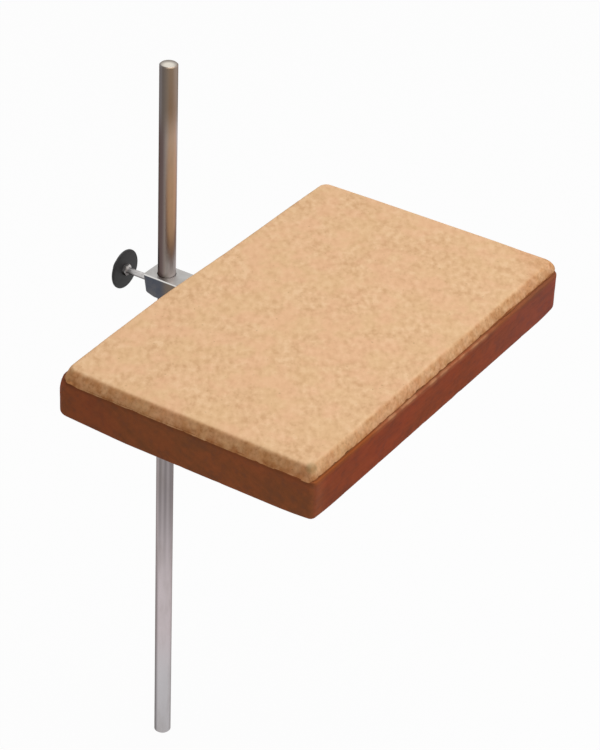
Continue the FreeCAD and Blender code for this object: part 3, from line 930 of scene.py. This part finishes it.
def make_clamp_screw():
    """The stud: a plain shank, a threaded inner end and the spigot that its pad turns on."""
    root = screw_radius - SCREW_THREAD_DEPTH
    length = screw_high.x - screw_low.x - SPIGOT_LENGTH
    plain = length - SCREW_THREAD_LENGTH
    origin = Vector((screw_low.x, screw_middle.y, screw_middle.z))
    tip = length + SPIGOT_LENGTH
    outer_end = [(0.0, 0.0), (0.0, screw_radius - SCREW_EDGE), (SCREW_EDGE, screw_radius),
                 (plain - SCREW_EDGE, screw_radius), (plain, root)]
    inner_end = [(length, root), (length, SPIGOT_RADIUS), (tip - SCREW_EDGE, SPIGOT_RADIUS),
                 (tip, SPIGOT_RADIUS - SCREW_EDGE), (tip, 0.0)]
    shank, spigot = [lathe(profile, "X", origin, SCREW_SIDES) for profile in (outer_end, inner_end)]
    piece = new_piece("clamp_stud", *joined(shank, spigot))
    start = origin + Vector((plain, 0, 0))
    sizes = thread_sizes(start, screw_radius, SCREW_THREAD_DEPTH, SCREW_PITCH, SCREW_THREAD_LENGTH,
                         SCREW_SIDES)
    grown(piece, "screw_steel", thread_along("X"), sizes, SHARP_THREAD)
    finished(piece, "screw_steel", "thumbscrew", "clamp_screw")


def make_screw_knob():
    """The moulded disc knob, with a hub on its outer face and a blind hole for the stud."""
    origin = Vector((knob_high.x, screw_middle.y, screw_middle.z))
    inner, outer = 0.0, -KNOB_THICKNESS
    hub_end = knob_low.x - knob_high.x
    rim = knob_radius - KNOB_RIM_ROUND
    hub = KNOB_HUB_RADIUS - KNOB_HUB_ROUND
    section = arc((rim, inner - KNOB_RIM_ROUND), KNOB_RIM_ROUND, 90, 0, KNOB_RIM_STEPS)
    section += arc((rim, outer + KNOB_RIM_ROUND), KNOB_RIM_ROUND, 0, -90, KNOB_RIM_STEPS)
    fillet_middle = (KNOB_HUB_RADIUS + KNOB_FILLET, outer - KNOB_FILLET)
    section += arc(fillet_middle, KNOB_FILLET, 90, 180, KNOB_FILLET_STEPS)
    section += arc((hub, hub_end + KNOB_HUB_ROUND), KNOB_HUB_ROUND, 0, -90, KNOB_HUB_STEPS)
    profile = [(-KNOB_HOLE_DEPTH, 0.0), (-KNOB_HOLE_DEPTH, screw_radius), (inner, screw_radius)]
    profile += [(place, radius) for radius, place in section]
    profile.append((hub_end, 0.0))
    points, faces = lathe(profile, "X", origin, KNOB_SIDES)
    piece = new_piece("thumb_knob", points, faces, SHARP_KNOB)
    finished(piece, "black_plastic", "thumbscrew", "screw_knob")


# Board, cork and glue


def paint_ledge(piece):
    """Marks how far the wood's ledge beside the cork is worn, and how far its seam carries glue stain and
    painted shade.
    """
    x, y, z = np.array([v.co for v in piece.data.vertices]).T
    inner = max(WOOD_CORNERS)
    rise = shares_of(z, wood_high.z - 1.5 * WOOD_TOP_ROUND, wood_high.z - 0.5 * WOOD_TOP_ROUND)
    ledge = shares_of(x, wood_high.x - 1.5 * inner, wood_high.x - 0.5 * inner)
    ledge *= shares_of(np.minimum(y - LEDGE_START, LEDGE_END - y), 0, LEDGE_FADE)
    ledge *= 1 - GLUE_COVER * shares_of(y, GLUE_START, GLUE_START + LEDGE_FADE)
    # The seam's glue stain and painted shade, strongest at the wood's top
    stain = shares_of(z, wood_high.z - WOOD_SEAM, wood_high.z)
    paint_points(piece, "worn", rise * ledge)
    paint_points(piece, "seam", stain * (1 - ledge))


def make_wood_board():
    """The wooden board: rounded below, with small dents along its edges and a worn ledge beside the cork."""
    inner = max(WOOD_CORNERS)
    low_middle = (WOOD_BOTTOM_ROUND, wood_low.z + WOOD_BOTTOM_ROUND)
    high_middle = (WOOD_TOP_ROUND, wood_high.z - WOOD_TOP_ROUND)
    underside = [(inner, wood_low.z), ((inner + WOOD_BOTTOM_ROUND) / 2, wood_low.z)]
    low_round = arc(low_middle, WOOD_BOTTOM_ROUND, 270, 180, WOOD_BOTTOM_STEPS)
    high_round = arc(high_middle, WOOD_TOP_ROUND, 180, 90, WOOD_TOP_STEPS)
    side = [(0.0, z) for z in steps_between(low_middle[1], high_middle[1], WOOD_SIDE_STEPS)]
    profile = [(inset, inset, z) for inset, z in underside + low_round + side + high_round]
    counts = ring_counts(wood_size.x, wood_size.y, inner, WOOD_STEP)
    points, faces, count = slab(wood_size.x, wood_size.y, WOOD_CORNERS, profile, counts)
    # The flat faces and their edges have no dents
    for k in range((len(underside) + 1) * count, (len(profile) - 1) * count):
        p = points[k]
        dent = max(0.0, noise.fractal(p / WOOD_DENT_SPACING, *WOOD_DENT_OCTAVES)) ** 2
        inward = Vector((-p.x / wood_size.x, -p.y / wood_size.y, 0)).normalized()
        points[k] = p + inward * dent * WOOD_DENT
    faces.append(tuple(range(len(points) - count, len(points))))
    bottom = flat_grid(wood_size.x - 2 * inner, wood_size.y - 2 * inner, wood_low.z, counts)
    points, faces = joined((points, faces), bottom)
    piece = new_piece("wooden_board", set_on_board(points), faces)
    paint_ledge(piece)
    finished(piece, "stained_wood", "platform", "wood_board")


def cork_outline(inset=0.0):
    """Width and length of the cork sheet, drawn in from its foot."""
    width = wood_high.x - wood_low.x - 2 * (CORK_SIDE_SETBACK + inset)
    length = wood_high.y - wood_low.y - 2 * (CORK_END_SETBACK + inset)
    return width, length


def pressed_grain(g, start):
    """A node tree that presses granules into the cork and crumbles its cut sides."""
    position = g.node("GeometryNodeInputPosition")
    normal = g.node("GeometryNodeInputNormal")
    sockets = {"Vector": position, "W": start.other("Seed"), "Scale": 1 / start.other("Granule")}
    cell = g.node("ShaderNodeTexVoronoi", {"voronoi_dimensions": "4D"}, sockets, "Color")
    grain = g.part(cell, "X")
    rim, foot = g.carried("rim"), g.carried("foot")
    scale = CHIPS_PER_GRANULE / start.other("Granule")
    sockets = {"Vector": position, "W": start.other("Seed"), "Scale": scale, "Detail": 3.0}
    chips = g.node("ShaderNodeTexNoise", {"noise_dimensions": "4D"}, sockets)
    bites = g.between(chips, 0.45, 0.75)
    crumbled = bites * start.other("Crumble") * (foot + rim * RIM_CRUMBLE_SHARE)
    depth = grain * start.other("Relief") * (1 + rim) + crumbled
    return g.node("GeometryNodeSetPosition", None, {0: start, "Offset": normal * depth * -1})


def cork_profile(inner):
    """The cork's section from under its foot to its crown, as a slab's profile."""
    lean = math.atan2(cork_height, CORK_SLANT)
    run = CORK_TOP_ROUND * math.tan(lean / 2)
    profile = [(inset, 0, cork_low.z) for inset in CORK_UNDER_INSETS]
    side_end = 1 - run / math.hypot(cork_height, CORK_SLANT)
    for share in [0.0] + steps_between(0.0, side_end, CORK_SIDE_STEPS) + [side_end]:
        profile.append((share * CORK_SLANT, 0, cork_low.z + share * cork_height))
    middle = (CORK_SLANT + run, cork_high.z - CORK_TOP_ROUND)
    for inset, z in arc(middle, CORK_TOP_ROUND, 90 + math.degrees(lean), 90, CORK_TOP_STEPS)[1:]:
        profile.append((inset, inset - CORK_SLANT, z))
    for share in CORK_CROWN_SHARES:
        cut = run + (inner - run) * share
        profile.append((CORK_SLANT + cut, cut, cork_high.z))
    return profile


def make_cork_pad():
    """The cork sheet: flat slanted sides, a soft arris, granules in relief and a crumbled foot."""
    width, length = cork_outline()
    crown_width, crown_length = cork_outline(CORK_SLANT)
    inner = max(CORK_CORNERS)
    counts = ring_counts(crown_width, crown_length, inner, CORK_STEP)
    points, faces, count = slab(width, length, CORK_CORNERS, cork_profile(inner), counts)
    crown = flat_grid(crown_width - 2 * inner, crown_length - 2 * inner, cork_high.z, counts)
    points, faces = joined((points, faces), crown)
    faces.append(tuple(range(count))[::-1])
    for p in points:
        share = (p.z - cork_low.z) / cork_height * share_of(-p.x, width / 4, width / 2)
        p.x -= CORK_BULGE * share * math.exp(-((p.y - CORK_BULGE_PLACE) / CORK_BULGE_REACH) ** 2)
    points = set_on_board(points, CORK_TURN)
    foot_row = len(CORK_UNDER_INSETS)
    for p in points[foot_row * count:(foot_row + 1) * count]:
        lap = share_of(p.y - wood_low.y, *CORK_LAP_REACH)
        p.y += lap * (wood_low.y - p.y)
        p.z -= lap * CORK_LAP
    piece = new_piece("cork_top", points, faces, SHARP_SOFT)
    heights = np.array([v.co.z for v in piece.data.vertices])
    paint_points(piece, "rim", shares_of(heights, cork_high.z, cork_high.z - CORK_RIM * cork_height))
    paint_points(piece, "foot", shares_of(heights, cork_low.z + CORK_FOOT * cork_height, cork_low.z))
    sizes = {"Granule": GRANULE, "Relief": GRAIN_RELIEF, "Crumble": CRUMBLE, "Seed": GRAIN_SEED}
    grown(piece, "cork", pressed_grain, sizes, SHARP_SOFT)
    finished(piece, "cork", "platform", "cork_pad")


def uneven_bead(g, start):
    """A node tree that lays a bead of uneven thickness along the piece's edges."""
    path = g.node("GeometryNodeMeshToCurve", None, {0: start})
    path = g.node("GeometryNodeResampleCurve", {"mode": "LENGTH"}, {0: path, "Length": start.other("Step")})
    position = g.node("GeometryNodeInputPosition")
    sockets = {"Vector": position, "W": start.other("Seed"), "Scale": 1 / BEAD_LUMP, "Detail": 4.0}
    lumps = g.node("ShaderNodeTexNoise", {"noise_dimensions": "4D"}, sockets)
    swelling = g.between(lumps, 0.3, 0.7, BEAD_BETWEEN_LUMPS, 1.0)
    thick = swelling * g.carried("room") * start.other("Radius")
    ring = g.node("GeometryNodeCurvePrimitiveCircle", None, {"Resolution": BEAD_SIDES, "Radius": 1.0})
    return g.node("GeometryNodeCurveToMesh", None, {"Curve": path, "Profile Curve": ring, "Scale": thick})


def make_glue_layer():
    """The thin layer of glue between the wood and the cork."""
    width, length = cork_outline(GLUE_SETBACK)
    counts = ring_counts(width, length, max(CORK_CORNERS), 2 * BEAD_STEP)
    profile = [(0.0, 0.0, z) for z in (wood_high.z, cork_low.z)]
    points, faces, count = slab(width, length, CORK_CORNERS, profile, counts)
    faces += [tuple(range(count))[::-1], tuple(range(count, 2 * count))]
    piece = new_piece("glue_layer", set_on_board(points, CORK_TURN), faces)
    finished(piece, "glue", "platform", "glue_film")


def bead_room(p, width):
    """The bead's thickness at a point: thin at the board's ends, and full where it covers the worn ledge."""
    if abs(p.x) < width / 2 - max(CORK_CORNERS) / 2:
        return BEAD_AT_ENDS
    covering = share_of(p.y, GLUE_START, GLUE_START + LEDGE_FADE) if p.x > 0 else 0.0
    return BEAD_AT_SIDES + (1 - BEAD_AT_SIDES) * covering


def make_glue_bead():
    """Glue squeezed out along the cork's foot."""
    width, length = cork_outline()
    counts = ring_counts(width, length, max(CORK_CORNERS), 4 * BEAD_STEP)
    ring = rounded_ring(width, length, CORK_CORNERS, counts)
    path = [p + Vector((0, 0, wood_high.z + BEAD_LIFT)) for p in ring]
    mesh = bpy.data.meshes.new("glue_bead")
    edges = [(k, (k + 1) % len(path)) for k in range(len(path))]
    mesh.from_pydata(set_on_board(path, CORK_TURN), edges, [])
    piece = in_scene("glue_bead", mesh)
    paint_points(piece, "room", [bead_room(p, width) for p in path])
    sizes = {"Radius": BEAD_RADIUS, "Step": BEAD_STEP, "Seed": BEAD_SEED}
    grown(piece, "glue", uneven_bead, sizes, SHARP_SOFT)
    finished(piece, "glue", "platform")


# Scene


def dress_cad_nodes():
    """Carried-over CAD nodes take the finish of their slot in the record."""
    for part in frame["record"]["subparts"]:
        node = frame["nodes"][part["node"]]
        node.data.materials.clear()
        node.data.materials.append(FINISHES[part["material_slot"]])


def seen_directly(g):
    """1 for rays that show the background: to the camera, in metal and through glass."""
    path = g.node("ShaderNodeLightPath", output="Is Camera Ray")
    rays = path + path.other("Is Glossy Ray") + path.other("Is Transmission Ray")
    return g.math("MINIMUM", rays, 1.0)


def floor_paper():
    """Pale paper that takes the object's shadow, and that is white to the camera and in metal."""
    made = bpy.data.materials.new("pale_paper")
    g = fresh_graph(made)
    paper = g.node("ShaderNodeBsdfDiffuse", None, {"Color": (*[FLOOR_SHADE] * 3, 1.0)})
    white = g.node("ShaderNodeEmission", None, {"Color": (1, 1, 1, 1), "Strength": 1.0})
    sheet = g.node("ShaderNodeMixShader", None, {0: seen_directly(g) * FLOOR_WHITE, 1: paper, 2: white})
    g.node("ShaderNodeOutputMaterial", None, {"Surface": sheet})
    return made


def make_floor():
    """The floor under the rod's foot."""
    mesh = bpy.data.meshes.new("studio_floor")
    corners = [(x * FLOOR_REACH, y * FLOOR_REACH, -FLOOR_DROP) for x, y in CORNERS]
    mesh.from_pydata(corners, [], [(2, 3, 0, 1)])
    mesh.materials.append(floor_paper())
    in_scene("studio_floor", mesh)


def make_world():
    """Even light from all round, white where it is seen."""
    world = bpy.data.worlds.new("studio")
    g = fresh_graph(world)
    strength = AMBIENT + seen_directly(g) * (1 - AMBIENT)
    sky = g.node("ShaderNodeBackground", None, {"Color": (1, 1, 1, 1), "Strength": strength})
    g.node("ShaderNodeOutputWorld", None, {"Surface": sky})
    bpy.context.scene.world = world


def make_lamp(name, place, size, power):
    """A square soft lamp that faces the board."""
    lamp = bpy.data.lights.new(name, "AREA")
    lamp.shape = "SQUARE"
    lamp.size = size
    lamp.energy = power
    holder = in_scene(name, lamp)
    holder.location = place
    holder.rotation_euler = (board_middle - Vector(place)).to_track_quat("-Z", "Y").to_euler()


def make_camera():
    """The camera at the photograph's viewpoint."""
    lens = bpy.data.cameras.new("photo_view")
    lens.sensor_width = SENSOR
    lens.lens = FOCAL_PIXELS / LONG_SIDE_PIXELS * SENSOR
    lens.clip_start = CLIP_START
    camera = in_scene("photo_view", lens)
    back = -CAMERA_FORWARD.normalized()
    right = CAMERA_RIGHT.normalized()
    up = back.cross(right)
    turned = Matrix((right, up, back)).transposed().to_4x4()
    camera.matrix_world = Matrix.Translation(CAMERA_PLACE) @ turned
    bpy.context.scene.camera = camera


dress_cad_nodes()
make_support_rod()
make_wood_board()
make_cork_pad()
make_glue_layer()
make_glue_bead()
make_clamp_screw()
make_screw_knob()
make_floor()
make_world()
for lamp in LAMPS:
    make_lamp(*lamp)
make_camera()

bpy.context.scene.view_settings.view_transform = "Standard"
